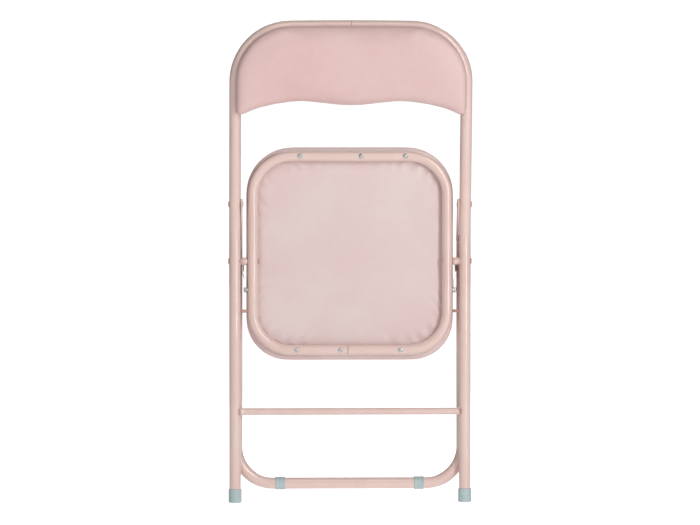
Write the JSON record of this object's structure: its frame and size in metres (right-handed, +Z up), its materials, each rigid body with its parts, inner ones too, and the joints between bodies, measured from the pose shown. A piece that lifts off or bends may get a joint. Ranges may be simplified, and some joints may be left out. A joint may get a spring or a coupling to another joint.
{
  "type": "folding chair",
  "caption": "Folding chair with a bent-tube frame, padded seat and curved padded backrest, folded flat; seat, rear legs and side links fold together.",
  "frame": {"origin": "on the floor, centred under the folded chair as it stands on its front feet", "axes": "+Z up, +X to the right seen from the front, the front of the chair faces -Y"},
  "size_m": [0.4446, 0.1308, 0.8797],
  "materials": {
    "frame_paint": "smooth semi-gloss paint",
    "painted_rivet": "semi-gloss paint over a rivet",
    "foot_rubber": "matt soft plastic",
    "vinyl": "fine-grained soft vinyl",
    "board_wood": "raw",
    "foam": "open foam",
    "zinc": "bright zinc plating",
    "bare_steel": "plain"
  },
  "bodies": {
    "frame": {"back_frame_tube_left": "frame_paint", "back_frame_tube_right": "frame_paint", "back_frame_joint_sleeve": "bare_steel", "front_crossbar": "frame_paint", "front_foot_cap_left": "foot_rubber", "front_foot_cap_right": "foot_rubber", "backrest_board": "board_wood", "backrest_foam": "foam", "backrest_cover": "vinyl", "backrest_back_cover": "vinyl", "backrest_screws": "zinc", "rear_leg_rivet_left": "painted_rivet", "rear_leg_rivet_right": "painted_rivet", "seat_pivot_rivet_left": "painted_rivet", "seat_pivot_rivet_right": "painted_rivet", "seat_pivot_spacer_left": "frame_paint", "seat_pivot_spacer_right": "frame_paint"},
    "rear_legs": {"rear_leg_tube": "frame_paint", "rear_floor_sleeve_left": "foot_rubber", "rear_floor_sleeve_right": "foot_rubber"},
    "seat": {"seat_frame_tube": "frame_paint", "seat_frame_joint_sleeve": "bare_steel", "seat_board": "board_wood", "seat_foam": "foam", "seat_cover": "vinyl", "seat_underside_cover": "vinyl", "seat_screws": "zinc", "stop_pin_left": "zinc", "stop_pin_right": "zinc", "link_seat_rivet_left": "zinc", "link_seat_rivet_right": "zinc"},
    "link_left": {"link_plate_left": "zinc", "link_rear_rivet_left": "zinc"},
    "link_right": {"link_plate_right": "zinc", "link_rear_rivet_right": "zinc"}
  },
  "joints": [
    {"name": "seat_fold", "type": "hinge", "parent": "frame", "child": "seat", "pos_m": [0, 0.02043, 0.441], "axis": [1, 0, 0], "range_deg": [0, 112]},
    {"name": "rear_leg_fold", "type": "hinge", "parent": "frame", "child": "rear_legs", "pos_m": [0, 0.01233, 0.545], "axis": [1, 0, 0], "range_deg": [0, 46]},
    {"name": "link_left_swing", "type": "hinge", "parent": "seat", "child": "link_left", "pos_m": [-0.191, 0.02043, 0.389], "axis": [1, 0, 0], "range_deg": [-141.16, 0]},
    {"name": "link_right_swing", "type": "hinge", "parent": "seat", "child": "link_right", "pos_m": [0.191, 0.02043, 0.389], "axis": [1, 0, 0], "range_deg": [-141.16, 0]}
  ],
  "couplings": [
    {"joint": "rear_leg_fold", "follows": "seat_fold", "ratio": 0.41071},
    {"joint": "link_left_swing", "follows": "seat_fold", "ratio": -1.2604},
    {"joint": "link_right_swing", "follows": "seat_fold", "ratio": -1.2604}
  ]
}
